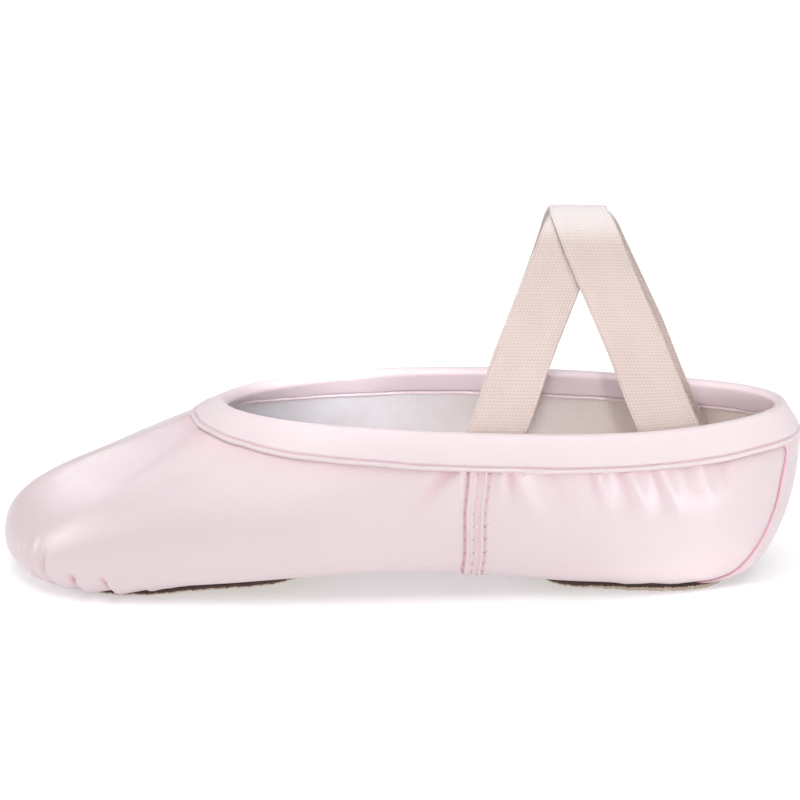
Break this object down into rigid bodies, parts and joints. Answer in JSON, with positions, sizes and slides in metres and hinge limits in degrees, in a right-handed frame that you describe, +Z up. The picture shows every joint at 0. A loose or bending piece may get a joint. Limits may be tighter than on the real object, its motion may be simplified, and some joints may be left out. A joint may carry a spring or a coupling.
{
  "type": "split-sole ballet slipper",
  "caption": "Soft pale-pink satin split-sole ballet slipper with a bound oval collar, crossed elastic straps and suede sole patches.",
  "frame": {"origin": "centre of the bounding box's footprint, on the floor that the sole patches stand on", "axes": "+X from the toe towards the heel, +Y across the foot, away from the side the picture shows, +Z up"},
  "size_m": [0.24, 0.075, 0.1129],
  "materials": {
    "satin": "satin, soft sheen, fine diagonal weave",
    "binding": "matte folded cotton tape",
    "elastic": "matte ribbed elastic",
    "suede": "matte suede",
    "cotton": "matte plain-weave cotton"
  },
  "bodies": {
    "root": {"upper": "satin", "collar_binding": "binding", "back_strip": "satin", "insole": "cotton", "forefoot_sole": "suede", "heel_sole": "suede", "strap_under": "elastic", "strap_over": "elastic"}
  },
  "joints": []
}
